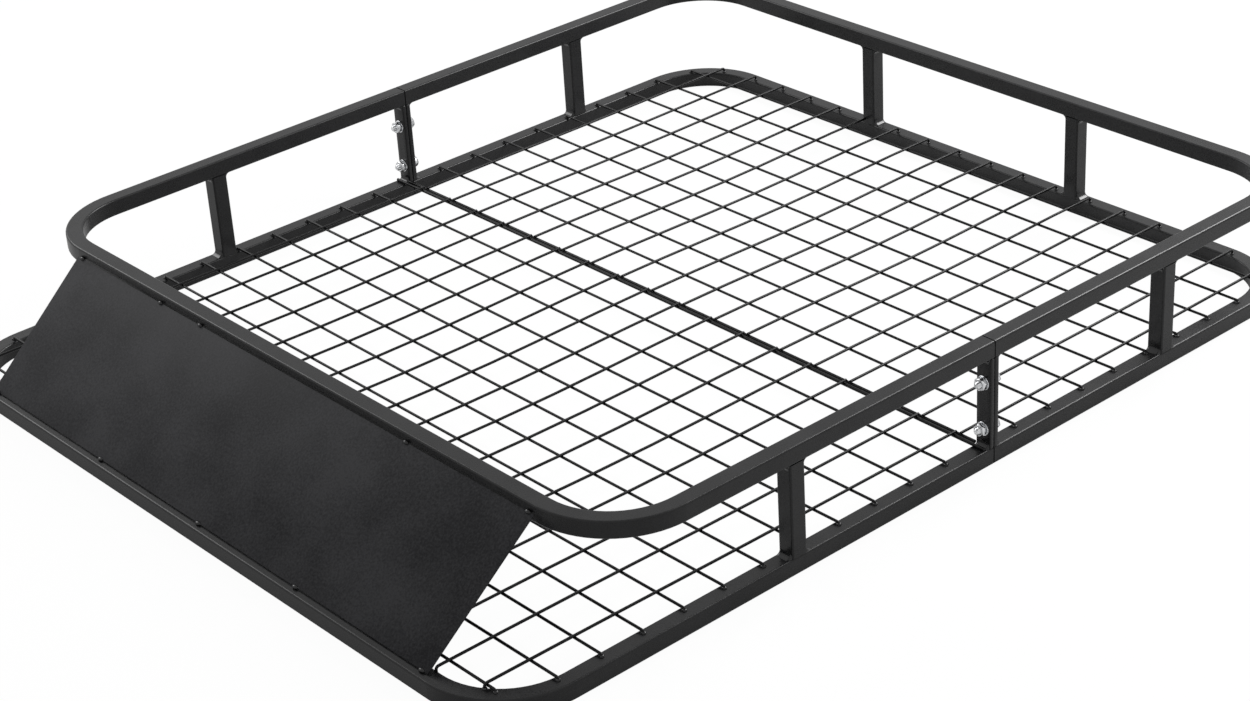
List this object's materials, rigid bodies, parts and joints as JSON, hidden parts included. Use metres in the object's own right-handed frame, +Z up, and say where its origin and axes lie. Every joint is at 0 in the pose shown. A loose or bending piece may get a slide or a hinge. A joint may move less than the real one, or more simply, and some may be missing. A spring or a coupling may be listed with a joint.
{
  "type": "roof basket",
  "caption": "Two-part black steel roof basket with square tube rails, a welded wire floor and a sloping sheet fairing across its front.",
  "frame": {"origin": "centre of the footprint of the bottom rails, on the level of their underside", "axes": "+X to the right-hand side, +Y to the rear, +Z up; the fairing is at the front (-Y)"},
  "size_m": [1.016, 1.2192, 0.147],
  "materials": {
    "tube_black": "satin black powder coat with a fine orange peel",
    "mesh_black": "satin black powder coat on drawn wire",
    "fairing_black": "fine textured black powder coat on sheet steel",
    "zinc": "bright zinc plating"
  },
  "bodies": {
    "root": {"front_top_rail": "tube_black", "rear_top_rail": "tube_black", "front_bottom_rail": "tube_black", "rear_bottom_rail": "tube_black", "front_floor_mesh": "mesh_black", "rear_floor_mesh": "mesh_black", "front_seam_rod": "mesh_black", "rear_seam_rod": "mesh_black", "right_front_post": "tube_black", "left_front_post": "tube_black", "right_rear_side_post": "tube_black", "left_rear_side_post": "tube_black", "rear_right_post": "tube_black", "rear_left_post": "tube_black", "right_front_seam_bar": "tube_black", "right_rear_seam_bar": "tube_black", "left_front_seam_bar": "tube_black", "left_rear_seam_bar": "tube_black", "right_seam_bolts": "zinc", "right_seam_nuts": "zinc", "right_seam_washers": "zinc", "left_seam_bolts": "zinc", "left_seam_nuts": "zinc", "left_seam_washers": "zinc", "wind_fairing": "fairing_black"}
  },
  "joints": []
}
